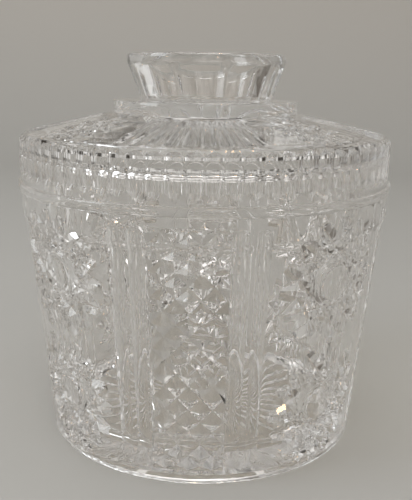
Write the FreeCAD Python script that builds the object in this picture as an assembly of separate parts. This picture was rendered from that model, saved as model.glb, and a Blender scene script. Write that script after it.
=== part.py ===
import FreeCAD, Part
import math
import os

# Pressed-glass biscuit jar: a tapered jar and a lid that sits on its rim. Millimetres, +Z up,
# origin at the middle of the foot. Angles round the jar are in degrees from the front (-Y),
# towards +X. The ornament repeats every quarter turn: a panel of pointed diamonds, a pair of
# fluted borders and a panel with two hobstars.

# Jar, heights
foot_height = 4.0
body_height = 114.0
ridge_height = 4.5
jar_rim_height = 11.3
belt_height = 9.5
belt_slope_height = 4.0
base_thickness = 9.0
base_recess = 1.4

# Jar, radii
foot_radius = 73.9
belt_foot_radius = 83.0
rim_radius = 84.4
ridge_projection = 1.4
ridge_slope_height = 1.2
foot_ring_width = 7.0
foot_rounding = 1.0
mouth_radius = 77.2
cavity_foot_radius = 66.5
cavity_corner = 12.0

# Lid
lid_rim_height = 8.8
lid_edge = 2.2
shoulder_rise = 9.0
shoulder_bulge = 0.1
collar_radius = 42.3
collar_height = 5.5
collar_rounding = 0.6
lid_wall = 6.0
lid_crown_radius = 34.0
flange_depth = 5.0
flange_wall = 4.0
flange_clearance = 0.8

# Knob, hollow and open at the top, in one piece with the lid
knob_foot_radius = 30.2
knob_lip_radius = 36.1
knob_height = 20.3
knob_lip_height = 2.6
knob_lip_chamfer = 1.2
knob_wall = 5.2
knob_floor_rise = 1.5
knob_flutes = 10
knob_flute_width = 18.2
knob_flute_hollow = 0.8
knob_flute_drop = 5.6

# Flutes round the two rims
rim_flutes = 72
rim_flute_turn = 1.6
rim_flute_width = 6.6
rim_flute_hollow = 1.0
jar_flute_rise = 2.2
jar_flute_point = 4.5
lid_flute_drop = 0.2

# Ornament on the body
repeats = 4
ornament_foot = 6.5
ornament_top = 110.0
diamond_panel_half_angle = 11.25
diamonds_across = 3
diamond_height = 10.7
diamond_depth = 2.2
diamond_tip_drop = 0.2
border_flute_angles = (13.9, 19.7)
border_flute_width = 6.0
border_flute_hollow = 1.2

# Hobstars on the body: a groove along every chord between points that are some steps apart
pattern_radius = 79.0
upper_star_height = 84.0
lower_star_height = 29.5
star_points = 16
star_chord_steps = 6
star_radius = 28.5
star_button_radius = 8.7
star_ring_radius = 1.4
chord_width = 4.8
chord_depth = 1.9
chord_run_out = 0.15

# Leaf cuts that fan out on the body, with directions from straight up
fan_leaf_length = 31.0
fan_leaf_width = 6.0
fan_leaf_depth = 1.9
fan_gap = 3.0
top_fan_height = 112.0
middle_fan_height = 56.0
foot_fan_height = 5.0
top_fan_directions = (93.0, 108.0)
middle_fan_directions = (73.0, 93.0, 112.0)
foot_fan_directions = (74.0,)

# Flutes on the lid's shoulder, a group over each diamond panel
shoulder_flutes = 9
shoulder_flute_step = 5.0
shoulder_flute_inner = 48.0
shoulder_flute_outer = 78.5
shoulder_flute_inner_width = 3.7
shoulder_flute_outer_width = 5.8
shoulder_flute_hollow = 0.8

# Small stars on the lid's shoulder, one over each hobstar panel
lid_star_ring = 64.0
lid_star_points = 12
lid_star_chord_steps = 5
lid_star_radius = 16.5
lid_chord_width = 2.8
lid_chord_depth = 1.1

# How far a cutter stands proud of the glass that it cuts
cutter_lift = 0.8
panel_cutter_lift = 5.0

# Levels and radii that follow from the sizes above
jar_rim_foot = body_height + ridge_height
jar_height = jar_rim_foot + jar_rim_height
ridge_radius = rim_radius + ridge_projection
belt_foot = body_height - belt_height
belt_slope_foot = belt_foot - belt_slope_height
lid_rim_top = jar_height + lid_rim_height
collar_foot = lid_rim_top + shoulder_rise
collar_top = collar_foot + collar_height
knob_top = collar_top + knob_height
flange_radius = mouth_radius - flange_clearance
shoulder_foot_radius = rim_radius - lid_edge
quarter = 360.0 / repeats

# The shoulder's outline is an arc from the rim to the collar: its radius and centre
shoulder_run = shoulder_foot_radius - collar_radius
shoulder_chord = math.hypot(shoulder_run, shoulder_rise)
shoulder_arc = shoulder_chord ** 2 / (8 * shoulder_bulge) + shoulder_bulge / 2
shoulder_back = shoulder_arc - shoulder_bulge
shoulder_centre = (
    (shoulder_foot_radius + collar_radius) / 2 - shoulder_back * shoulder_rise / shoulder_chord,
    (lid_rim_top + collar_foot) / 2 - shoulder_back * shoulder_run / shoulder_chord,
)


def around(radius, angle, height):
    """The point at a radius, an angle from the front and a height."""
    turn = math.radians(angle)
    return FreeCAD.Vector(radius * math.sin(turn), -radius * math.cos(turn), height)


def line(a, b):
    """A straight edge of an outline between two (radius, height) points."""
    return Part.LineSegment(FreeCAD.Vector(a[0], 0, a[1]), FreeCAD.Vector(b[0], 0, b[1])).toShape()


def arc(a, middle, b):
    """A round edge of an outline through three (radius, height) points."""
    points = [FreeCAD.Vector(p[0], 0, p[1]) for p in (a, middle, b)]
    return Part.Arc(*points).toShape()


def path(*points):
    """Straight edges through a row of (radius, height) points."""
    return [line(a, b) for a, b in zip(points, points[1:])]


def turned(edges):
    """A solid turned from a closed outline of edges."""
    outline = Part.Face(Part.Wire(edges))
    return outline.revolve(FreeCAD.Vector(0, 0, 0), FreeCAD.Vector(0, 0, 1), 360)


def polyhedron(faces):
    """A closed solid from flat faces, each a list of corner points."""
    sides = [Part.Face(Part.makePolygon(corners + corners[:1])) for corners in faces]
    solid = Part.Solid(Part.makeShell(sides))
    if solid.Volume < 0:
        solid.reverse()
    return solid


def turned_copies(shape, count, step):
    """Copies of a shape at equal steps round the axis, the first where it is."""
    copies = []
    for index in range(count):
        copy = shape.copy()
        copy.rotate(FreeCAD.Vector(0, 0, 0), FreeCAD.Vector(0, 0, 1), index * step)
        copies.append(copy)
    return copies


def glass_left(blank, cuts):
    """The blank after its cuts, without the loose chips that crossing cuts set free."""
    return max(blank.cut(cuts).Solids, key=lambda solid: solid.Volume)


def body_radius(height):
    """Outside radius of the body below the ridge: a taper, then the fuller belt."""
    if height <= belt_slope_foot:
        share = max(height - foot_height, 0.0) / (belt_slope_foot - foot_height)
        return foot_radius + (belt_foot_radius - foot_radius) * share
    share = min((height - belt_slope_foot) / belt_slope_height, 1.0)
    return belt_foot_radius + (rim_radius - belt_foot_radius) * share


def shoulder_height(radius, inset=0.0):
    """Height of the lid's shoulder at a radius, or of a surface inset in the glass below it."""
    return shoulder_centre[1] + math.sqrt(
        (shoulder_arc - inset) ** 2 - (radius - shoulder_centre[0]) ** 2)


def knob_radius(height):
    """Outside radius of the flaring knob at a height."""
    share = (height - collar_top) / (knob_height - knob_lip_height)
    return knob_foot_radius + (knob_lip_radius - knob_foot_radius) * share


def on_body(angle, height):
    """The place on the body at an angle and height, and the way out of the glass there."""
    return around(body_radius(height), angle, height), around(1, angle, 0)


def on_shoulder(angle, radius):
    """The place on the lid's shoulder at an angle and radius, and the way out of the glass."""
    slope = (radius - shoulder_centre[0]) / shoulder_arc
    return around(radius, angle, shoulder_height(radius)), around(slope, angle, math.sqrt(1 - slope ** 2))


def leaf(surface, start, end, width, depth):
    """A V-shaped cutter, widest and deepest in its middle, that runs out at both ends."""
    halfway = ((start[0] + end[0]) / 2, (start[1] + end[1]) / 2)
    first_place, first_out = surface(*start)
    middle, out = surface(*halfway)
    last_place, last_out = surface(*end)
    across = out.cross(last_place.sub(first_place)).normalize()
    half_width = width / 2 * (depth + cutter_lift) / depth
    first = first_place + first_out * cutter_lift
    last = last_place + last_out * cutter_lift
    left = middle + out * cutter_lift + across * half_width
    right = middle + out * cutter_lift - across * half_width
    bottom = middle - out * depth
    return polyhedron([
        [first, left, bottom],
        [first, bottom, right],
        [first, right, left],
        [last, bottom, left],
        [last, right, bottom],
        [last, left, right],
    ])


def groove(surface, start, end, width, depth):
    """A V-shaped cutter that follows the surface at one depth, and runs out at both ends."""
    shares = (0.0, chord_run_out, 0.5, 1 - chord_run_out, 1.0)
    stations = [surface(start[0] + (end[0] - start[0]) * share, start[1] + (end[1] - start[1]) * share)
                for share in shares]
    along = stations[-1][0].sub(stations[0][0])
    half_width = width / 2 * (depth + cutter_lift) / depth
    first = stations[0][0] + stations[0][1] * cutter_lift
    last = stations[-1][0] + stations[-1][1] * cutter_lift
    rows = []
    for place, out in stations[1:-1]:
        across = out.cross(along).normalize()
        high = place + out * cutter_lift
        rows.append((high + across * half_width, place - out * depth, high - across * half_width))
    faces = []
    for side in range(3):
        following = (side + 1) % 3
        faces.append([first, rows[0][side], rows[0][following]])
        for near, far in zip(rows, rows[1:]):
            faces.append([near[side], far[side], near[following]])
            faces.append([near[following], far[side], far[following]])
        faces.append([rows[-1][side], last, rows[-1][following]])
    return polyhedron(faces)


def chord_star(surface, points, steps, radius, width, depth):
    """Grooves along the chords of a star round the place (0, 0) of a surface."""
    cutters = []
    for index in range(points):
        ends = []
        for place in (index, index + steps):
            turn = 2 * math.pi * place / points
            ends.append((radius * math.sin(turn), radius * math.cos(turn)))
        cutters.append(groove(surface, ends[0], ends[1], width, depth))
    return cutters


def cutter_radius(width, hollow):
    """Radius of the round cutter for a flute that is this wide and this hollow."""
    return (width * width / 4 + hollow * hollow) / (2 * hollow)


def cutter_ring(glass_radius, width, hollow):
    """Distance from the jar's axis to that cutter's axis, for round glass of this radius."""
    return math.sqrt(glass_radius ** 2 - width ** 2 / 4) - hollow + cutter_radius(width, hollow)


def flute(start, end, radii, balls=(True, True), point=0.0):
    """A round cutter from start to end, with a ball, a point or a square cut at each end."""
    axis = end.sub(start)
    top = axis.Length
    low, high = radii
    edges = path((0, -point), (low, 0))
    bottom = -point
    if balls[0]:
        bottom = -low
        edges = [arc((0, -low), (low * math.sqrt(0.5), -low * math.sqrt(0.5)), (low, 0))]
    edges.append(line((low, 0), (high, top)))
    if balls[1]:
        edges.append(arc((high, top), (high * math.sqrt(0.5), top + high * math.sqrt(0.5)), (0, top + high)))
        edges.append(line((0, top + high), (0, bottom)))
    else:
        edges += path((high, top), (0, top), (0, bottom))
    cutter = turned(edges)
    cutter.Placement = FreeCAD.Placement(start, FreeCAD.Rotation(FreeCAD.Vector(0, 0, 1), axis))
    return cutter


def rim_flute_cutters(low, high, balls, point):
    """The flutes round a rim band, between two levels."""
    radius = cutter_radius(rim_flute_width, rim_flute_hollow)
    ring = cutter_ring(rim_radius, rim_flute_width, rim_flute_hollow)
    start = around(ring, rim_flute_turn, low)
    end = around(ring, rim_flute_turn, high)
    cutter = flute(start, end, (radius, radius), balls, point)
    return turned_copies(cutter, rim_flutes, 360.0 / rim_flutes)


def diamond_panel():
    """What is cut away to leave the panel of pointed diamonds at the front."""
    rows = 2 * int((ornament_top - ornament_foot) / diamond_height)
    columns = 2 * diamonds_across

    def node(column, row, lift=None):
        angle = diamond_panel_half_angle * (2 * column / columns - 1)
        height = ornament_foot + row * diamond_height / 2
        if lift is None:
            lift = -diamond_tip_drop if (column + row) % 2 else -diamond_depth
        return around(body_radius(height) + lift, angle, height)

    faces = []
    for column in range(columns + 1):
        for row in range((column + 1) % 2, rows + 1, 2):
            corners = [(column + 1, row), (column, row + 1), (column - 1, row), (column, row - 1)]
            for a, b in zip(corners, corners[1:] + corners[:1]):
                if all(0 <= c <= columns and 0 <= r <= rows for c, r in (a, b)):
                    faces.append([node(column, row), node(*a), node(*b)])
    low_left, low_right, high_right, high_left = [
        node(column, row, panel_cutter_lift)
        for column, row in ((0, 0), (columns, 0), (columns, rows), (0, rows))]
    faces.append([low_left, low_right, high_right, high_left])
    faces.append([node(0, row) for row in range(rows + 1)] + [high_left, low_left])
    faces.append([node(columns, row) for row in range(rows + 1)] + [high_right, low_right])
    faces.append([node(column, 0) for column in range(columns + 1)] + [low_right, low_left])
    faces.append([node(column, rows) for column in range(columns + 1)] + [high_right, high_left])
    return polyhedron(faces)


def border_flutes():
    """The two upright flutes on each side of a diamond panel."""
    radius = cutter_radius(border_flute_width, border_flute_hollow)
    low = ornament_foot + border_flute_width / 2
    high = ornament_top - border_flute_width / 2
    rings = [cutter_ring(body_radius(height), border_flute_width, border_flute_hollow)
             for height in (low, high)]
    cutters = []
    for angle in border_flute_angles:
        for side in (-angle, angle):
            start = around(rings[0], side, low)
            end = around(rings[1], side, high)
            cutters.append(flute(start, end, (radius, radius)))
    return cutters


def hobstar(height):
    """The cuts of one hobstar in the middle of its panel: chords, and a ring round the button."""
    def on_panel(across, up):
        return on_body(quarter / 2 + math.degrees(across / pattern_radius), height + up)

    place, out = on_panel(0, 0)
    chords = chord_star(on_panel, star_points, star_chord_steps, star_radius, chord_width, chord_depth)
    return chords + [Part.makeTorus(star_button_radius, star_ring_radius, place, out)]


def panel_fans():
    """The leaf cuts that spread sideways above, between and below the two hobstars."""
    cutters = []
    for height, directions in ((top_fan_height, top_fan_directions),
                               (middle_fan_height, middle_fan_directions),
                               (foot_fan_height, foot_fan_directions)):
        for turn in [math.radians(side * direction) for direction in directions for side in (-1, 1)]:
            ends = []
            for distance in (fan_gap, fan_leaf_length):
                angle = quarter / 2 + math.degrees(distance * math.sin(turn) / pattern_radius)
                ends.append((angle, height + distance * math.cos(turn)))
            cutters.append(leaf(on_body, ends[0], ends[1], fan_leaf_width, fan_leaf_depth))
    return cutters


def shoulder_flute_cutters():
    """The group of flutes on the lid's shoulder over the front diamond panel."""
    cutters = []
    for index in range(shoulder_flutes):
        angle = (index - (shoulder_flutes - 1) / 2) * shoulder_flute_step
        ends = []
        radii = []
        for radius, width in ((shoulder_flute_inner, shoulder_flute_inner_width),
                              (shoulder_flute_outer, shoulder_flute_outer_width)):
            size = cutter_radius(width, shoulder_flute_hollow)
            place, out = on_shoulder(angle, radius)
            ends.append(place + out * (size - shoulder_flute_hollow))
            radii.append(size)
        cutters.append(flute(ends[0], ends[1], radii))
    return cutters


def lid_star():
    """The small star on the lid's shoulder over a hobstar panel, laid out as seen from above."""
    def on_panel(across, outward):
        out = lid_star_ring + outward
        return on_shoulder(quarter / 2 + math.degrees(math.atan2(across, out)), math.hypot(across, out))

    return chord_star(on_panel, lid_star_points, lid_star_chord_steps, lid_star_radius,
                      lid_chord_width, lid_chord_depth)


def knob_flute():
    """One flute of the knob, at the front, with an arched top and a flat foot on the collar."""
    radius = cutter_radius(knob_flute_width, knob_flute_hollow)
    arch_top = knob_top - knob_flute_drop
    arch_depth = (knob_radius(arch_top) + radius
                  - cutter_ring(knob_radius(arch_top), knob_flute_width, knob_flute_hollow))
    arch_height = math.sqrt(radius ** 2 - (radius - arch_depth) ** 2)
    ends = []
    for height in (collar_top, arch_top - arch_height):
        ring = cutter_ring(knob_radius(height), knob_flute_width, knob_flute_hollow)
        ends.append(around(ring, 0, height))
    cutter = flute(ends[0], ends[1], (radius, radius), (False, True), radius)
    reach = 2 * (knob_lip_radius + radius)
    below = Part.makeBox(2 * reach, 2 * reach, reach, FreeCAD.Vector(-reach, -reach, collar_top - reach))
    return cutter.cut(below)


def jar_blank():
    """The jar with no ornament."""
    recess_radius = foot_radius - foot_ring_width
    slant = cavity_corner * (1 - math.sqrt(0.5))
    corner_high = (cavity_foot_radius, base_thickness + cavity_corner)
    corner_middle = (cavity_foot_radius - slant, base_thickness + slant)
    corner_low = (cavity_foot_radius - cavity_corner, base_thickness)
    outside = path(
        (0, base_recess),
        (recess_radius - base_recess, base_recess),
        (recess_radius, 0),
        (foot_radius - foot_rounding, 0),
        (foot_radius, foot_rounding),
        (foot_radius, foot_height),
        (belt_foot_radius, belt_slope_foot),
        (rim_radius, belt_foot),
        (rim_radius, body_height),
        (ridge_radius, body_height + ridge_slope_height),
        (ridge_radius, jar_rim_foot - ridge_slope_height),
        (rim_radius, jar_rim_foot),
        (rim_radius, jar_height),
        (mouth_radius, jar_height),
        corner_high,
    )
    corner = [arc(corner_high, corner_middle, corner_low)]
    floor = path(corner_low, (0, base_thickness), (0, base_recess))
    return turned(outside + corner + floor)


def lid_blank():
    """The lid with its flange, collar and hollow knob, with no ornament."""
    flange_inside = flange_radius - flange_wall
    flange_foot = jar_height - flange_depth
    under = [(radius, shoulder_height(radius, lid_wall))
             for radius in (lid_crown_radius, (lid_crown_radius + flange_inside) / 2, flange_inside)]
    shoulder = [(radius, shoulder_height(radius))
                for radius in (shoulder_foot_radius, lid_star_ring, collar_radius)]
    floor = collar_top + knob_floor_rise
    underside = [line((0, under[0][1]), under[0]), arc(*under)]
    rim = path(
        under[2],
        (flange_inside, flange_foot),
        (flange_radius, flange_foot),
        (flange_radius, jar_height),
        (rim_radius, jar_height),
        (rim_radius, lid_rim_top - lid_edge),
        shoulder[0],
    )
    knob = path(
        shoulder[2],
        (collar_radius, collar_top - collar_rounding),
        (collar_radius - collar_rounding, collar_top),
        (knob_foot_radius, collar_top),
        (knob_lip_radius, knob_top - knob_lip_height),
        (knob_lip_radius, knob_top - knob_lip_chamfer),
        (knob_lip_radius - knob_lip_chamfer, knob_top),
        (knob_lip_radius - knob_wall, knob_top),
        (knob_radius(floor) - knob_wall, floor),
        (0, floor),
        (0, under[0][1]),
    )
    return turned(underside + rim + [arc(*shoulder)] + knob)


def jar():
    """The jar, with its rim flutes and the ornament pressed into its body."""
    flute_foot = jar_rim_foot + jar_flute_rise + jar_flute_point
    above = jar_height + rim_flute_width
    cuts = rim_flute_cutters(flute_foot, above, (False, False),
                             jar_flute_point * cutter_radius(rim_flute_width, rim_flute_hollow)
                             / rim_flute_hollow)
    ornament = [diamond_panel()] + border_flutes() + panel_fans()
    ornament += hobstar(upper_star_height) + hobstar(lower_star_height)
    for cutter in ornament:
        cuts += turned_copies(cutter, repeats, quarter)
    return glass_left(jar_blank(), cuts)


def lid():
    """The lid, with the flutes of its rim and knob, and the ornament on its shoulder."""
    flute_top = lid_rim_top - lid_edge - lid_flute_drop - rim_flute_width / 2
    cuts = rim_flute_cutters(jar_height - rim_flute_width, flute_top, (False, True), 0.0)
    cuts += turned_copies(knob_flute(), knob_flutes, 360.0 / knob_flutes)
    for cutter in shoulder_flute_cutters() + lid_star():
        cuts += turned_copies(cutter, repeats, quarter)
    return glass_left(lid_blank(), cuts)


os.makedirs("parts", exist_ok=True)
for name, make in (("jar", jar), ("lid", lid)):
    solid = make()
    solid.exportStep("parts/" + name + ".step")
    print(name, "closed" if solid.isValid() else "not closed", round(solid.Volume / 1000), "ml of glass")
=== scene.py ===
import math

import bpy
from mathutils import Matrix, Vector


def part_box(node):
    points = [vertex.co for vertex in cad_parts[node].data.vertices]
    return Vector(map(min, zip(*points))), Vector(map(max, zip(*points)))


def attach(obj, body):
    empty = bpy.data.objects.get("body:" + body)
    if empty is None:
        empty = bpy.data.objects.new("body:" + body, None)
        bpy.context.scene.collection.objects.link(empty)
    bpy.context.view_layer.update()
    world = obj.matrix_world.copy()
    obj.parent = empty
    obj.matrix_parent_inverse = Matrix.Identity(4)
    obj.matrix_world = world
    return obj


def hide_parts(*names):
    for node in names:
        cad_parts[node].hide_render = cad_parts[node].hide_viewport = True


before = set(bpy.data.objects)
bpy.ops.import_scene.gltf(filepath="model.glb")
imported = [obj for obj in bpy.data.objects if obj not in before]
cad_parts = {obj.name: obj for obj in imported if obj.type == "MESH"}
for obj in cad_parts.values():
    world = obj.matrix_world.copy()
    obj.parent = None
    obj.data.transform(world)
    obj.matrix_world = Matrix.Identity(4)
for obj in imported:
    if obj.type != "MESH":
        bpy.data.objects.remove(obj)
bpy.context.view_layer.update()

# Sizes are in millimetres and degrees, and a finished mesh is scaled to metres. Angles round the
# jar are from the front (-Y) towards +X.
MM = 0.001
DEGREE = math.pi / 180
jar_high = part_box("jar")[1] / MM
lid_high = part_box("lid")[1] / MM

# Levels of the jar
rim_gap = 0.12  # keeps the rim clear of the lid that rests on it
jar_top = jar_high.z - rim_gap
foot_band = 4.0
foot_rounding = 0.7
ridge_top = 118.5
ridge_foot = 114.0
ridge_slope = 1.2
belt_foot = 104.5
belt_slope = 4.0
floor_level = 9.0
base_recess = 1.4

# Radii of the jar
ridge_radius = jar_high.x
rim_radius = ridge_radius - 1.4
foot_radius = 73.9
belt_foot_radius = 83.0
mouth_radius = 77.2
cavity_radius = 66.5
cavity_corner = 12.0
foot_ring = 7.0
mouth_rounding = 0.7
mouth_narrowing = 0.4

# The rays pressed into the underside
base_rays = 36
base_ray_ends = (10.0, 64.0)
base_ray_depth = 1.2
base_ray_rings = 8

# The unrolled quarter of the wall: its left edge, its reference radius and how finely it is divided
quarter = 90.0
strip_start = 16.8
strip_radius = 79.0
wall_step = 2.5
strip_depth = 6.0
flute_sides = 48

# Levels where the strip is divided, so that its curved parts can bend when it is wrapped
foot_rows = (0.15, 0.5, foot_rounding, foot_band)
ridge_rows = (0.04, 0.15, 0.4, 1.0)
mouth_rows = (1.0, 0.6, 0.25)

# How near two places count as one, and how far a cutter stands out of the glass
same_place = 0.01
same_level = 0.02
merge_distance = 0.001
seam_distance = 0.01
cutter_lift = 1.0

# Panels of the jar, as angles from the middle of a diamond panel
ornament_foot = 6.5
ornament_top = 110.0
panel_half = 11.25
diamonds_across = 3
diamond_height = 10.7
diamond_depth = 3.0
diamond_tip = 0.09
border_angles = (13.9, 19.7)
border_width = 6.0
border_hollow = 1.2

# The hobstars, and the leaves that fan out round them
star_heights = (84.0, 29.5)
star_points = 16
star_chord = 6
star_reach = 27.0
star_groove_width = 4.8
star_groove_depth = 2.3
button_radius = 8.7
button_ring = 1.4
leaf_width = 6.0
leaf_depth = 2.3
leaf_gap = 3.0
leaf_reach = 31.0
fans = ((112.0, (93.0, 108.0)), (56.0, (73.0, 93.0, 112.0)), (5.0, (74.0,)))

# Flutes of the two rims
rim_flutes = 72
rim_flute_turn = 1.6
rim_flute_width = 7.0
rim_flute_hollow = 1.5
jar_flute_foot = 120.7
jar_flute_point = 2.4
lid_flute_hollow = 1.5

# The lid
lid_foot = jar_high.z
lid_rim_top = lid_foot + 8.8
lid_edge = 2.2
lid_foot_rounding = 0.4
shoulder_rise = 9.0
shoulder_bulge = 0.1
collar_radius = 42.3
collar_height = 5.5
collar_rounding = 0.6
collar_round_middle = 0.18
lid_wall = 6.0
flange_depth = 5.0
flange_wall = 4.0
flange_clearance = 0.8
flange_rounding = 0.5
underside_rings = (30, collar_radius, 52, 62)
rim_cutter_reach = (4, 2)
shoulder_grid_step = 5.0
shoulder_grid_offset = 0.37
shoulder_grid_lines = 17
shoulder_flutes = 9
shoulder_flute_step = 5.0
shoulder_flute_inner = 48.0
shoulder_flute_outer = 78.5
shoulder_flute_widths = (5.8, 3.7)
shoulder_flute_hollow = 0.9
lid_star_ring = 64.0
lid_star_points = 12
lid_star_reach = 16.5
lid_star_chord = 5
lid_groove_width = 2.8
lid_groove_depth = 1.1

# The knob
collar_top = lid_rim_top + shoulder_rise + collar_height
knob_foot_radius = 30.2
knob_lip_radius = 36.1
knob_top = lid_high.z
knob_lip_height = 3.6
knob_wall = 5.2
knob_floor_rise = 1.5
knob_lip_rounding = 1.2
knob_lip_round_middle = 0.35
knob_inner_rounding = 0.6
knob_flutes = 10
knob_flute_widths = (18.2, 21.6)
knob_flute_hollow = 0.8
knob_flute_sink = 1.4
knob_flute_drop = 5.2
knob_flute_arch = 4.5

# The camera stands where the photograph was taken from
camera_place = (0.0236, -0.3318, 0.1650)
camera_pitch = 14.09
camera_heading = 3.87
camera_roll = 0.84
camera_lens = 50.67

# The waves that fire polishing leaves in the glass are about this far apart
ripple_spacing = 6.25

# The floor and backdrop, in metres
floor_half = 1.1
backdrop_start = 0.9
backdrop_bend = 0.5
backdrop_steps = 12
backdrop_height = 0.8
floor_gap = 0.0002
lamp_aim = (0, 0, 0.08)


def flat(angle):
    """Distance along the unrolled wall to an angle round the jar."""
    return (angle - strip_start) * DEGREE * strip_radius


def body_radius(height):
    """Outside radius of the jar at a height, before its ornament is cut."""
    slope_foot = belt_foot - belt_slope
    if height < foot_rounding:
        dip = foot_rounding - height
        return foot_radius - foot_rounding + math.sqrt(max(foot_rounding ** 2 - dip ** 2, 0))
    if height <= slope_foot:
        share = max(height - foot_band, 0.0) / (slope_foot - foot_band)
        return foot_radius + (belt_foot_radius - foot_radius) * share
    if height <= ridge_foot:
        share = min((height - slope_foot) / belt_slope, 1.0)
        return belt_foot_radius + (rim_radius - belt_foot_radius) * share * share * (3 - 2 * share)
    if height < ridge_top:
        near_edge = min(height - ridge_foot, ridge_top - height) / ridge_slope
        rounded = math.sqrt(max(1 - (1 - min(near_edge, 1.0)) ** 2, 0))
        return rim_radius + (ridge_radius - rim_radius) * rounded
    if height > jar_top - mouth_rounding:
        dip = height - jar_top + mouth_rounding
        return rim_radius - mouth_rounding * mouth_narrowing * (dip / mouth_rounding) ** 2
    return rim_radius


def cavity_point(height):
    """Radius and height of the inside of the jar, for a height on the outside of its wall."""
    corner_top = floor_level + cavity_corner
    if height < corner_top:
        turn = (1 - height / corner_top) * math.pi / 2
        radius = cavity_radius - cavity_corner * (1 - math.cos(turn))
        return radius, corner_top - cavity_corner * math.sin(turn)
    share = (height - corner_top) / (jar_top - corner_top)
    dip = max(height - jar_top + mouth_rounding, 0) / mouth_rounding
    radius = cavity_radius + (mouth_radius - cavity_radius) * share
    return radius + mouth_rounding * mouth_narrowing * dip * dip, height


def cutter_radius(width, hollow):
    """Radius of the round cutter for a flute of a width and a depth."""
    return (width * width / 4 + hollow * hollow) / (2 * hollow)


def deselect():
    if bpy.context.object and bpy.context.object.mode != "OBJECT":
        bpy.ops.object.mode_set(mode="OBJECT")
    bpy.ops.object.select_all(action="DESELECT")


def choose(piece):
    """Makes one piece the active and only selected one."""
    deselect()
    piece.select_set(True)
    bpy.context.view_layer.objects.active = piece


def edit(piece, test=None):
    """Opens a piece for editing with all of its faces selected, or those whose centre passes a test."""
    choose(piece)
    bpy.ops.object.mode_set(mode="EDIT")
    bpy.ops.mesh.select_mode(type="FACE")
    bpy.ops.mesh.select_all(action="SELECT" if test is None else "DESELECT")
    if test:
        bpy.ops.object.mode_set(mode="OBJECT")
        for face in piece.data.polygons:
            face.select = test(face)
        bpy.ops.object.mode_set(mode="EDIT")


def edit_done():
    bpy.ops.object.mode_set(mode="OBJECT")


def added(name):
    """The object that the last operator added, under its own name and with its place in its mesh."""
    piece = bpy.context.object
    piece.name = name
    bpy.ops.object.transform_apply(location=True, rotation=True, scale=True)
    return piece


def copied(piece, turn):
    """A copy of a piece, turned about the jar's axis by an angle."""
    choose(piece)
    bpy.ops.object.duplicate()
    copy = bpy.context.object
    copy.rotation_euler.z = turn * DEGREE
    bpy.ops.object.transform_apply(location=True, rotation=True, scale=True)
    return copy


def joined(pieces):
    """Several pieces as one mesh."""
    deselect()
    for piece in pieces:
        piece.select_set(True)
    bpy.context.view_layer.objects.active = pieces[0]
    bpy.ops.object.join()
    return pieces[0]


def cut(piece, cutter, operation="DIFFERENCE"):
    """Cuts a piece with a cutter, which is then thrown away."""
    choose(piece)
    carve = piece.modifiers.new("carve", "BOOLEAN")
    carve.operation = operation
    carve.object = cutter
    carve.solver = "MANIFOLD"
    bpy.ops.object.modifier_apply(modifier=carve.name)
    bpy.data.objects.remove(cutter)


def block(low, high, name):
    """A box between two corners."""
    deselect()
    low, high = Vector(low), Vector(high)
    bpy.ops.mesh.primitive_cube_add(size=1, location=(low + high) / 2, scale=high - low)
    return added(name)


def groove(start, end, width, depth):
    """A straight V-edged cutter between two (across, height) places on the strip."""
    run = Vector((end[0] - start[0], 0, end[1] - start[1]))
    third = (depth + cutter_lift) / 3
    half_width = width / 2 * (depth + cutter_lift) / depth
    deselect()
    bpy.ops.mesh.primitive_cylinder_add(
        vertices=3, radius=1, depth=1,
        location=((start[0] + end[0]) / 2, depth - 2 * third, (start[1] + end[1]) / 2),
        rotation=(0, math.atan2(run.x, run.z), 0),
        scale=(half_width / math.sin(60 * DEGREE), 2 * third, run.length))
    return added("groove")


def leaf(start, end, width, depth, sides=flute_sides):
    """A V-edged wheel that leaves a leaf-shaped cut between two (across, height) places."""
    run = Vector((end[0] - start[0], 0, end[1] - start[1]))
    radius = run.length ** 2 / (8 * depth) + depth / 2
    deselect()
    bpy.ops.mesh.primitive_uv_sphere_add(
        segments=sides, ring_count=2, radius=1,
        location=((start[0] + end[0]) / 2, depth - radius, (start[1] + end[1]) / 2),
        rotation=(0, math.atan2(run.x, run.z) + math.pi / 2, 0),
        scale=(radius, radius, radius * width / (2 * depth)))
    return added("leaf")


def round_flute(across, low, high, widths, hollow, low_end, high_end, sides=flute_sides):
    """A round cutter for an upright flute: its width at each end, and a ball, a point or nothing there."""
    radii = [cutter_radius(width, hollow) for width in widths]
    deselect()
    bpy.ops.mesh.primitive_cone_add(
        vertices=sides, radius1=radii[0], radius2=radii[1], depth=high - low,
        location=(across, hollow - radii[0], (low + high) / 2))
    piece = added("flute")
    for way, radius, finish in ((-1, radii[0], low_end), (1, radii[1], high_end)):
        edit(piece, lambda face: face.normal.z * way > 0.99)
        if way == 1:
            bpy.ops.transform.translate(value=(0, radii[0] - radii[1], 0))
        if finish == "ball":
            ball_end(radius, way)
        elif finish:
            bpy.ops.mesh.extrude_region_move(TRANSFORM_OT_translate={"value": (0, 0, way * finish)})
            narrowed = 1 - hollow * 1.02 / radius
            bpy.ops.transform.resize(value=(narrowed, narrowed, 1))
        edit_done()
    return piece


def ball_end(radius, way, steps=8):
    """Rounds the selected end of a flute cutter, one narrower ring after another."""
    for step in range(1, steps):
        before, after = [number * math.pi / 2 / steps for number in (step - 1, step)]
        rise = way * radius * (math.sin(after) - math.sin(before))
        share = math.cos(after) / math.cos(before)
        bpy.ops.mesh.extrude_region_move(TRANSFORM_OT_translate={"value": (0, 0, rise)})
        bpy.ops.transform.resize(value=(share, share, 1))


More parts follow.
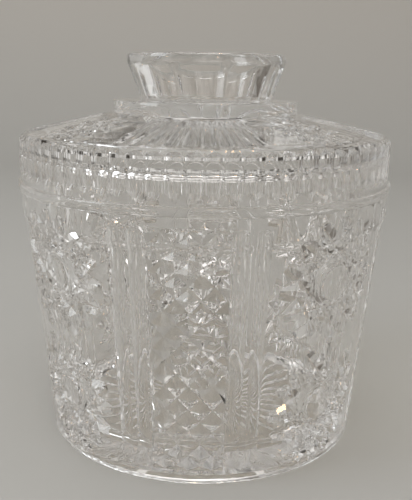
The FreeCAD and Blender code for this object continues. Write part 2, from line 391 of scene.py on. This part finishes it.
def diamond_grooves(strip, middle):
    """The crossed V grooves that leave a panel of pointed diamonds."""
    half = panel_half * DEGREE * strip_radius
    width = 2 * half / diamonds_across
    slope = diamond_height / width
    spacing = diamond_height * width / math.hypot(diamond_height, width)
    rows = int((ornament_top - ornament_foot) / diamond_height) + 2 + diamonds_across
    reach = half + 1
    for lean in (-1, 1):
        for row in range(rows):
            level = ornament_foot + (row - diamonds_across / 2) * diamond_height
            bar = groove((middle - reach, level - lean * slope * reach),
                         (middle + reach, level + lean * slope * reach),
                         spacing * (1 + 2 * diamond_tip / diamond_depth), diamond_depth)
            panel = block((middle - half, -2, ornament_foot), (middle + half, 4, ornament_top), "panel")
            cut(bar, panel, "INTERSECT")
            if bar.data.polygons:
                cut(strip, bar)
            else:
                bpy.data.objects.remove(bar)


def star_cuts(strip, middle, height, points, chord, reach, width, depth):
    """A hobstar: a V groove along every chord between star points that are some places apart."""
    for index in range(points):
        ends = []
        for place in (index, index + chord):
            turn = 2 * math.pi * place / points
            ends.append((middle + reach * math.sin(turn), height + reach * math.cos(turn)))
        cut(strip, groove(ends[0], ends[1], width, depth))


def button_ring_cut(strip, middle, height):
    """The round groove that sets off the button in the middle of a hobstar."""
    deselect()
    bpy.ops.mesh.primitive_torus_add(
        major_radius=button_radius, minor_radius=button_ring, major_segments=48, minor_segments=12,
        location=(middle, 0, height), rotation=(math.pi / 2, 0, 0))
    cut(strip, added("ring"))


def fan_cuts(strip, middle, height, directions):
    """Leaf cuts that spread to both sides from a place on the strip's middle line."""
    for direction in directions:
        for side in (-1, 1):
            across = side * math.sin(direction * DEGREE)
            up = math.cos(direction * DEGREE)
            start = (middle + leaf_gap * across, height + leaf_gap * up)
            end = (middle + leaf_reach * across, height + leaf_reach * up)
            cut(strip, leaf(start, end, leaf_width, leaf_depth))


def rim_flute_cuts(strip):
    """The flutes of the jar's rim band, every second one cut at a time so that they stay apart."""
    share = strip_radius / rim_radius
    step = 360 / rim_flutes
    first = math.ceil((strip_start - rim_flute_turn) / step) - 1
    count = int(quarter / step) + 3
    for start in (0, 1):
        flutes = []
        for index in range(start, count, 2):
            across = flat(rim_flute_turn + (first + index) * step)
            flutes.append(round_flute(across, jar_flute_foot + jar_flute_point, jar_top + 3,
                                      (rim_flute_width * share,) * 2, rim_flute_hollow,
                                      jar_flute_point, None))
        cut(strip, joined(flutes))


def bisected(piece, places, normal):
    """Divides a piece by planes at places along a normal."""
    for place in places:
        edit(piece)
        bpy.ops.mesh.bisect(plane_co=Vector(normal) * place, plane_no=normal)
        edit_done()


def carved_strip():
    """One quarter of the jar's wall, unrolled flat, with its ornament cut."""
    width = flat(strip_start + quarter)
    strip = block((0, 0, 0), (width, strip_depth, jar_top), "strip")
    star_middle = flat(quarter / 2)
    panel_middle = flat(quarter)
    for height in star_heights:
        star_cuts(strip, star_middle, height, star_points, star_chord, star_reach,
                  star_groove_width, star_groove_depth)
        button_ring_cut(strip, star_middle, height)
    for height, directions in fans:
        fan_cuts(strip, star_middle, height, directions)
    diamond_grooves(strip, panel_middle)
    ball = border_width / 2
    for angle in (border_angles[1], quarter - border_angles[1], quarter - border_angles[0],
                  quarter + border_angles[0]):
        cut(strip, round_flute(flat(angle), ornament_foot + ball, ornament_top - ball,
                               (border_width,) * 2, border_hollow, "ball", "ball"))
    rim_flute_cuts(strip)
    columns = [index * wall_step * DEGREE * strip_radius for index in range(1, int(quarter / wall_step))]
    bisected(strip, columns, (1, 0, 0))
    corner_top = floor_level + cavity_corner
    rows = list(foot_rows) + [corner_top * share / 8 for share in range(2, 9)]
    rows += [belt_foot - belt_slope * share / 4 for share in range(5)]
    rows += [ridge_foot] + [ridge_foot + ridge_slope * share for share in ridge_rows]
    rows += [ridge_top - ridge_slope * share for share in reversed(ridge_rows)] + [ridge_top]
    rows += [jar_top - mouth_rounding * share for share in mouth_rows]
    bisected(strip, rows, (0, 0, 1))
    return strip


def wrap(strip):
    """Wraps the flat strip round the jar, with its flat back as the inside of the wall."""
    for vertex in strip.data.vertices:
        across, depth, height = vertex.co
        turn = across / strip_radius + strip_start * DEGREE
        radius = body_radius(height) - depth
        if depth > strip_depth - same_place:
            radius, height = cavity_point(height)
        vertex.co = (radius * math.sin(turn), -radius * math.cos(turn), height)


def close_base(shell):
    """Closes the jar's floor inside, and the foot ring and recess underneath."""
    choose(shell)
    recess_radius = foot_radius - foot_ring
    inner, outer = base_ray_ends
    under = [(recess_radius, 0.0), (recess_radius - base_recess, base_recess)]
    under += [(outer + (inner - outer) * ring / base_ray_rings, base_recess)
              for ring in range(base_ray_rings + 1)]
    for low, rings in ((True, under), (False, ())):
        level = 0.0 if low else floor_level
        edit_done()
        select_loop(shell, level)
        radius = foot_radius - foot_rounding if low else cavity_radius - cavity_corner
        for next_radius, height in rings:
            bpy.ops.mesh.extrude_region_move(TRANSFORM_OT_translate={"value": (0, 0, height - level)})
            share = next_radius / radius
            bpy.ops.transform.resize(value=(share, share, 1), center_override=(0, 0, 0))
            radius, level = next_radius, height
        bpy.ops.mesh.edge_face_add()
        edit_done()


def select_loop(shell, level):
    """Selects the open edges that lie at one level."""
    choose(shell)
    bpy.ops.object.mode_set(mode="EDIT")
    bpy.ops.mesh.select_mode(type="EDGE")
    bpy.ops.mesh.select_all(action="DESELECT")
    bpy.ops.mesh.select_non_manifold()
    bpy.ops.object.mode_set(mode="OBJECT")
    places = shell.data.vertices
    for edge in shell.data.edges:
        edge.select = edge.select and all(abs(places[v].co.z - level) < same_level for v in edge.vertices)
    for vertex in places:
        vertex.select = False
    for edge in shell.data.edges:
        if edge.select:
            for v in edge.vertices:
                places[v].select = True
    bpy.ops.object.mode_set(mode="EDIT")


def cleaned(piece, open_edges_only=False):
    """Merges doubles, of the whole mesh or of its open edges, and turns the faces outwards."""
    edit(piece)
    if open_edges_only:
        bpy.ops.mesh.select_mode(type="VERT")
        bpy.ops.mesh.select_all(action="DESELECT")
        bpy.ops.mesh.select_non_manifold()
    bpy.ops.mesh.remove_doubles(threshold=seam_distance if open_edges_only else merge_distance)
    bpy.ops.mesh.select_all(action="SELECT")
    bpy.ops.mesh.normals_make_consistent(inside=False)
    edit_done()


def finished(piece, material, node, smooth=25):
    """Scales a mesh to metres, smooths its soft edges and gives it its glass."""
    choose(piece)
    piece.scale = (MM, MM, MM)
    bpy.ops.object.transform_apply(location=True, rotation=True, scale=True)
    bpy.ops.object.shade_smooth_by_angle(angle=smooth * DEGREE)
    piece.data.materials.clear()
    piece.data.materials.append(material)
    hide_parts(node)
    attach(piece, node)


def base_star(shell):
    """Presses a star of V rays into the recess under the foot, deepest half way along each ray."""
    inner, outer = base_ray_ends
    for vertex in shell.data.vertices:
        radius = math.hypot(vertex.co.x, vertex.co.y)
        if abs(vertex.co.z - base_recess) < same_place and inner < radius < outer:
            place = math.atan2(vertex.co.y, vertex.co.x) * base_rays / (2 * math.pi)
            share = 2 * abs(place - round(place))
            vertex.co.z += base_ray_depth * share * math.sin(math.pi * (radius - inner) / (outer - inner))


def jar_glass_shell():
    """The jar: four wrapped quarters joined round, then closed at the foot and floor."""
    strip = carved_strip()
    width = flat(strip_start + quarter)
    edit(strip, lambda face: (face.normal.x < -0.99 and face.center.x < same_place)
         or (face.normal.x > 0.99 and face.center.x > width - same_place)
         or (face.normal.z < -0.99 and face.center.z < same_place))
    bpy.ops.mesh.delete(type="FACE")
    edit_done()
    wrap(strip)
    quarters = [strip] + [copied(strip, index * quarter) for index in (1, 2, 3)]
    shell = joined(quarters)
    shell.name = "jar_glass_shell"
    cleaned(shell, open_edges_only=True)
    close_base(shell)
    cleaned(shell, open_edges_only=True)
    base_star(shell)
    return shell


def turned(points, name, steps=144):
    """A closed outline of (radius, height) points, turned round the jar's axis."""
    deselect()
    bpy.ops.mesh.primitive_circle_add(vertices=len(points), radius=1)
    piece = added(name)
    for vertex, (radius, height) in zip(piece.data.vertices, points):
        vertex.co = (0, -radius, height)
    bpy.ops.object.mode_set(mode="EDIT")
    bpy.ops.mesh.select_all(action="SELECT")
    bpy.ops.mesh.spin(steps=steps, angle=2 * math.pi, center=(0, 0, 0), axis=(0, 0, 1))
    edit_done()
    cleaned(piece)
    return piece


# The shoulder's outline is an arc from the rim to the collar: its radius and centre
shoulder_foot_radius = rim_radius - lid_edge
shoulder_run = shoulder_foot_radius - collar_radius
shoulder_chord = math.hypot(shoulder_run, shoulder_rise)
shoulder_arc = shoulder_chord ** 2 / (8 * shoulder_bulge) + shoulder_bulge / 2
shoulder_centre = (
    (shoulder_foot_radius + collar_radius) / 2
    - (shoulder_arc - shoulder_bulge) * shoulder_rise / shoulder_chord,
    (lid_rim_top + lid_rim_top + shoulder_rise) / 2
    - (shoulder_arc - shoulder_bulge) * shoulder_run / shoulder_chord)


def shoulder_lift(radius):
    """How far the lid's shoulder stands above its rim at a radius."""
    radius = min(max(radius, collar_radius), shoulder_foot_radius)
    return (shoulder_centre[1] + math.sqrt(shoulder_arc ** 2 - (radius - shoulder_centre[0]) ** 2)
            - lid_rim_top)


def lid_outline():
    """The lid's outline with its shoulder still flat: underside, flange, rim, shoulder, knob."""
    flange_radius = mouth_radius - flange_clearance
    flange_inside = flange_radius - flange_wall
    flange_foot = lid_foot - flange_depth
    collar_foot = lid_rim_top
    collar_high = lid_rim_top + collar_height
    lip_low = collar_high + knob_top - collar_top - knob_lip_height
    top = collar_high + knob_top - collar_top
    knob_floor = collar_high + knob_floor_rise
    points = [(0, lid_rim_top - lid_wall)]
    points += [(radius, lid_rim_top - lid_wall) for radius in underside_rings + (flange_inside - 1,)]
    points += [(flange_inside, lid_rim_top - lid_wall - 1), (flange_inside, flange_foot + flange_rounding)]
    points += [(flange_inside + flange_rounding, flange_foot), (flange_radius - flange_rounding, flange_foot)]
    points += [(flange_radius, flange_foot + flange_rounding), (flange_radius, lid_foot)]
    points += [(rim_radius - lid_foot_rounding, lid_foot), (rim_radius, lid_foot + lid_foot_rounding)]
    points += [(rim_radius, lid_rim_top - lid_edge), (shoulder_foot_radius, lid_rim_top)]
    points += [(collar_radius, collar_foot)]
    points += [(collar_radius, collar_high - collar_rounding),
               (collar_radius - collar_round_middle, collar_high - collar_round_middle),
               (collar_radius - collar_rounding, collar_high), (knob_foot_radius, collar_high)]
    points += [(knob_lip_radius, lip_low), (knob_lip_radius, top - knob_lip_rounding)]
    points += [(knob_lip_radius - knob_lip_round_middle, top - knob_lip_round_middle)]
    points += [(knob_lip_radius - knob_lip_rounding, top)]
    points += [(knob_lip_radius - knob_wall + knob_inner_rounding, top)]
    points += [(knob_lip_radius - knob_wall, top - knob_inner_rounding)]
    points += [(knob_foot_radius - knob_wall + 1.5, knob_floor + 1.2)]
    points += [(knob_foot_radius - knob_wall + 0.2, knob_floor + 0.1)]
    points += [(knob_foot_radius - knob_wall - 2, knob_floor), (0, knob_floor)]
    return points


def lid_glass_body():
    """The lid: turned with a flat shoulder, cut, and then lifted to its dome."""
    lid = turned(lid_outline(), "lid_glass_body")
    lid_rim_flutes(lid)
    knob_flute_cuts(lid)
    shoulder_cuts(lid)
    lines = range(-shoulder_grid_lines, shoulder_grid_lines + 1)
    grid = [index * shoulder_grid_step + shoulder_grid_offset for index in lines]
    for normal in ((1, 0, 0), (0, 1, 0)):
        for place in grid:
            edit(lid, lambda face: face.center.z > lid_rim_top - 3 and face.center.z < lid_rim_top + 0.1
                 and math.hypot(face.center.x, face.center.y) < rim_radius - 1.5)
            bpy.ops.mesh.bisect(plane_co=Vector(normal) * place, plane_no=normal)
            edit_done()
    for vertex in lid.data.vertices:
        vertex.co.z += shoulder_lift(math.hypot(vertex.co.x, vertex.co.y))
    cleaned(lid)
    return lid


def lid_rim_flutes(lid):
    """The flutes round the lid's rim, which run out in arches on its sloping edge."""
    radius = cutter_radius(rim_flute_width, lid_flute_hollow)
    ring = math.sqrt(rim_radius ** 2 - rim_flute_width ** 2 / 4) - lid_flute_hollow + radius
    flute = round_flute(0, lid_foot - rim_cutter_reach[0], lid_rim_top + rim_cutter_reach[1],
                        (rim_flute_width,) * 2, lid_flute_hollow, None, None)
    for vertex in flute.data.vertices:
        vertex.co.y -= ring - (radius - lid_flute_hollow)
    step = 360 / rim_flutes
    for start in (0, 1):
        flutes = [copied(flute, rim_flute_turn + index * step) for index in range(start, rim_flutes, 2)]
        cut(lid, joined(flutes))
    bpy.data.objects.remove(flute)


def knob_flute_cuts(lid):
    """The ten broad flutes of the knob, which lean out with its side and end in flat arches."""
    rise = knob_top - collar_top
    base = lid_rim_top + collar_height
    slope = (knob_lip_radius - knob_foot_radius) / (rise - knob_lip_height)
    flute = round_flute(0, 0.05, rise - knob_flute_drop - knob_flute_arch, knob_flute_widths,
                        knob_flute_hollow, None, knob_flute_arch, 96)
    for vertex in flute.data.vertices:
        vertex.co.y -= knob_foot_radius - knob_flute_sink + slope * vertex.co.z
        vertex.co.z += base
    for index in range(knob_flutes):
        cut(lid, copied(flute, index * 360 / knob_flutes))
    bpy.data.objects.remove(flute)


def lid_cut(lid, cutter, turn):
    """Cuts the lid's flat shoulder with a cutter made for the strip, at an angle round the lid."""
    for vertex in cutter.data.vertices:
        across, depth, up = vertex.co
        vertex.co = (across, up - lid_star_ring, lid_rim_top - depth)
    choose(cutter)
    cutter.rotation_euler.z = turn * DEGREE
    bpy.ops.object.transform_apply(location=True, rotation=True, scale=True)
    cut(lid, cutter)


def shoulder_cuts(lid):
    """The ornament of the flat shoulder: groups of flutes, and a star between each two groups."""
    for group in range(4):
        for index in range(shoulder_flutes):
            turn = (index - (shoulder_flutes - 1) / 2) * shoulder_flute_step
            flute = round_flute(0, lid_star_ring - shoulder_flute_outer, lid_star_ring - shoulder_flute_inner,
                                shoulder_flute_widths, shoulder_flute_hollow, "ball", "ball", 36)
            lid_cut(lid, flute, group * quarter + turn)
        for index in range(lid_star_points):
            ends = []
            for place in (index, index + lid_star_chord):
                turn = 2 * math.pi * place / lid_star_points
                ends.append((lid_star_reach * math.sin(turn), lid_star_reach * math.cos(turn)))
            bar = groove(ends[0], ends[1], lid_groove_width, lid_groove_depth)
            lid_cut(lid, bar, (group + 0.5) * quarter)


def linear(code):
    """A colour written as an sRGB hex code, as the shader's linear numbers."""
    parts = [int(code[place:place + 2], 16) / 255 for place in (1, 3, 5)]
    return tuple(part / 12.92 if part <= 0.04045 else ((part + 0.055) / 1.055) ** 2.4
                 for part in parts) + (1.0,)


def node(tree, kind, settings=None, **links):
    """Adds a shader node with its settings, and values or links for its inputs."""
    made = tree.nodes.new(kind)
    for name, value in (settings or {}).items():
        setattr(made, name, value)
    for name, value in links.items():
        socket = made.inputs[name.replace("_", " ")]
        if isinstance(value, bpy.types.NodeSocket):
            tree.links.new(value, socket)
        else:
            socket.default_value = value
    return made


def empty_material(name):
    material = bpy.data.materials.new(name)
    material.use_nodes = True
    material.node_tree.nodes.clear()
    return material, material.node_tree


def clear_pressed_glass():
    """Fire-polished soda-lime glass: clear and faintly warm, its surface gently uneven.

    Lamps shine through it, tinted a little, because clear glass throws only a pale shadow.
    """
    material, tree = empty_material("fire_polished_soda_lime_glass")
    place = node(tree, "ShaderNodeTexCoord")
    ripple = node(tree, "ShaderNodeTexNoise", Vector=place.outputs["Object"],
                  Scale=1 / (ripple_spacing * MM), Detail=2.0)
    bump = node(tree, "ShaderNodeBump", Strength=0.03, Distance=0.0004, Height=ripple.outputs["Fac"])
    glass = node(tree, "ShaderNodeBsdfPrincipled", Normal=bump.outputs["Normal"])
    glass.inputs["Base Color"].default_value = linear("#FCFBFA")
    glass.inputs["Transmission Weight"].default_value = 1.0
    glass.inputs["Roughness"].default_value = 0.0
    glass.inputs["IOR"].default_value = 1.54
    clear = node(tree, "ShaderNodeBsdfTransparent", Color=linear("#EEECE8"))
    rays = node(tree, "ShaderNodeLightPath")
    mixed = node(tree, "ShaderNodeMixShader", Fac=rays.outputs["Is Shadow Ray"])
    tree.links.new(glass.outputs[0], mixed.inputs[1])
    tree.links.new(clear.outputs[0], mixed.inputs[2])
    out = node(tree, "ShaderNodeOutputMaterial")
    tree.links.new(mixed.outputs[0], out.inputs["Surface"])
    return material


def plain_cloth(name, floor_code, painted_lighter_wall_code):
    """Matt cloth for the floor and backdrop, painted a little paler up the wall as painted light, so that the
    upright wall, which the lamps reach less, looks as brightly lit as the floor.
    """
    material, tree = empty_material(name)
    place = node(tree, "ShaderNodeTexCoord")
    parts = node(tree, "ShaderNodeSeparateXYZ", Vector=place.outputs["Object"])
    rise = node(tree, "ShaderNodeMapRange", Value=parts.outputs["Z"], To_Max=1.0)
    rise.inputs["From Max"].default_value = backdrop_height / 2
    # The ramp from the floor colour to the paler wall colour is painted light: the wall is painted brighter
    # to make up for the lamp light it gets less of.
    shade = node(tree, "ShaderNodeValToRGB", Fac=rise.outputs["Result"])
    for stop, code in zip(shade.color_ramp.elements, (floor_code, painted_lighter_wall_code)):
        stop.color = linear(code)
    cloth = node(tree, "ShaderNodeBsdfPrincipled", Roughness=0.9)
    tree.links.new(shade.outputs["Color"], cloth.inputs["Base Color"])
    out = node(tree, "ShaderNodeOutputMaterial")
    tree.links.new(cloth.outputs[0], out.inputs["Surface"])
    return material


def stage():
    """A pale floor that turns up into a backdrop behind the jar."""
    deselect()
    bpy.ops.mesh.primitive_plane_add(size=2 * floor_half, location=(0, 0, -floor_gap))
    floor = added("floor")
    edit(floor)
    bpy.ops.mesh.bisect(plane_co=(0, backdrop_start, 0), plane_no=(0, 1, 0), clear_outer=True)
    bpy.ops.mesh.select_mode(type="EDGE")
    bpy.ops.mesh.select_all(action="DESELECT")
    edit_done()
    for edge in floor.data.edges:
        edge.select = all(floor.data.vertices[v].co.y > backdrop_start - 0.01 for v in edge.vertices)
    bpy.ops.object.mode_set(mode="EDIT")
    for step in range(backdrop_steps):
        turn = (step + 0.5) * math.pi / 2 / backdrop_steps
        run = backdrop_bend * math.pi / 2 / backdrop_steps
        bpy.ops.mesh.extrude_region_move(
            TRANSFORM_OT_translate={"value": (0, run * math.cos(turn), run * math.sin(turn))})
    rest = backdrop_height - backdrop_bend
    bpy.ops.mesh.extrude_region_move(TRANSFORM_OT_translate={"value": (0, 0, rest)})
    edit_done()
    choose(floor)
    bpy.ops.object.shade_smooth()
    # The paler wall colour is painted light, standing in for lamp light that the upright wall doesn't get.
    floor.data.materials.append(plain_cloth("pale_grey_cloth", "#B9B8B4", "#CBC6BF"))


def lamp(name, place, size, glow, colour):
    """A soft rectangular lamp aimed at the jar; glow is its brightness, where 1 looks white."""
    light = bpy.data.lights.new(name, "AREA")
    light.shape = "RECTANGLE"
    light.size, light.size_y = size
    light.energy = glow * math.pi * size[0] * size[1]
    light.color = linear(colour)[:3]
    stand = bpy.data.objects.new(name, light)
    bpy.context.scene.collection.objects.link(stand)
    stand.location = place
    aim = Vector(lamp_aim) - Vector(place)
    stand.rotation_euler = aim.to_track_quat("-Z", "Y").to_euler()


def lights():
    """Soft lamps in a room that is paler to the left, with a patchy ceiling for the cut glass to pick up."""
    lamp("ceiling", (0.0, -0.6, 1.6), (2.0, 2.0), 1.05, "#FFFFFF")
    lamp("window_left", (-1.3, -0.5, 0.8), (0.7, 0.7), 4.2, "#F4FAFF")
    lamp("warm_lamp", (0.45, -1.0, 1.1), (0.12, 0.08), 28, "#FFCF9A")
    world = bpy.data.worlds.new("room")
    bpy.context.scene.world = world
    world.use_nodes = True
    tree = world.node_tree
    tree.nodes.clear()
    way = node(tree, "ShaderNodeTexCoord")
    patches = node(tree, "ShaderNodeTexNoise", Vector=way.outputs["Generated"], Scale=3.5, Detail=1.0)
    shades = node(tree, "ShaderNodeValToRGB", Fac=patches.outputs["Fac"])
    for stop, place, code in zip(shades.color_ramp.elements, (0.46, 0.55), ("#332E29", "#E6E4E0")):
        stop.position = place
        stop.color = linear(code)
    upper = node(tree, "ShaderNodeBackground", Color=shades.outputs["Color"])
    parts = node(tree, "ShaderNodeSeparateXYZ", Vector=way.outputs["Generated"])
    across = node(tree, "ShaderNodeMapRange", Value=parts.outputs["X"])
    across.inputs["From Min"].default_value = -0.8
    across.inputs["From Max"].default_value = 0.8
    sides = node(tree, "ShaderNodeValToRGB", Fac=across.outputs["Result"])
    for stop, code in zip(sides.color_ramp.elements, ("#DAD9D6", "#6C665F")):
        stop.color = linear(code)
    walls = node(tree, "ShaderNodeBackground", Color=sides.outputs["Color"])
    rise = node(tree, "ShaderNodeMapRange", Value=parts.outputs["Z"])
    rise.inputs["From Min"].default_value = 0.22
    rise.inputs["From Max"].default_value = 0.34
    room = node(tree, "ShaderNodeMixShader", Fac=rise.outputs["Result"])
    tree.links.new(walls.outputs[0], room.inputs[1])
    tree.links.new(upper.outputs[0], room.inputs[2])
    out = node(tree, "ShaderNodeOutputWorld")
    tree.links.new(room.outputs[0], out.inputs["Surface"])


def light_paths():
    """Enough bounces for light that crosses many walls of thick glass."""
    paths = bpy.context.scene.cycles
    paths.max_bounces = 24
    paths.transmission_bounces = 24
    paths.glossy_bounces = 16
    paths.transparent_max_bounces = 32


def camera():
    deselect()
    bpy.ops.object.camera_add(location=camera_place)
    eye = bpy.context.object
    eye.data.lens = camera_lens
    eye.data.sensor_width = 36
    eye.data.sensor_fit = "AUTO"
    eye.rotation_euler = ((90 - camera_pitch) * DEGREE, 0, camera_heading * DEGREE)
    eye.rotation_euler.rotate_axis("Z", camera_roll * DEGREE)
    bpy.context.scene.camera = eye
    bpy.context.scene.view_settings.view_transform = "Standard"


glass = clear_pressed_glass()
jar_piece = jar_glass_shell()
lid_piece = lid_glass_body()
finished(jar_piece, glass, "jar")
finished(lid_piece, glass, "lid")
stage()
lights()
light_paths()
camera()
